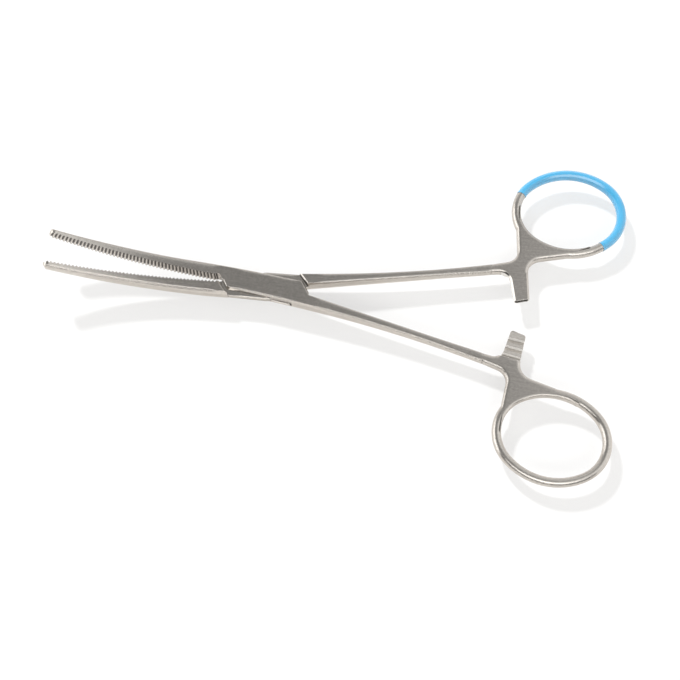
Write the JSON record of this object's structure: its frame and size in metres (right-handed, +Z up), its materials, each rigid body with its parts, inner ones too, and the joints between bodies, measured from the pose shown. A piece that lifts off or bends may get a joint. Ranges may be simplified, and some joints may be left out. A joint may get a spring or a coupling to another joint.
{
  "type": "haemostatic forceps",
  "caption": "Curved box-lock artery forceps: serrated jaws, finger rings with interlocking ratchet racks, and a colour-code coat on one ring.",
  "frame": {"origin": "on the pivot axis, at the underside of the box", "axes": "+X midway between the two handles, from the pivot to the finger rings; the jaws point to -X; +Z up, the way the jaws curve"},
  "size_m": [0.1582, 0.0923, 0.013],
  "materials": {
    "steel": "satin, fine grain along each half, edges polished",
    "pin_steel": "satin, ground flush with the box",
    "blue_coat": "gloss"
  },
  "bodies": {
    "box_side": {"box_half": "steel", "pivot_pin": "pin_steel"},
    "through_side": {"through_half": "steel", "ring_coat": "blue_coat"}
  },
  "joints": [
    {"name": "box_lock", "type": "hinge", "parent": "box_side", "child": "through_side", "pos_m": [0, 0, 0.0025], "axis": [0, 0, 1], "range_deg": [-8, 122]}
  ]
}
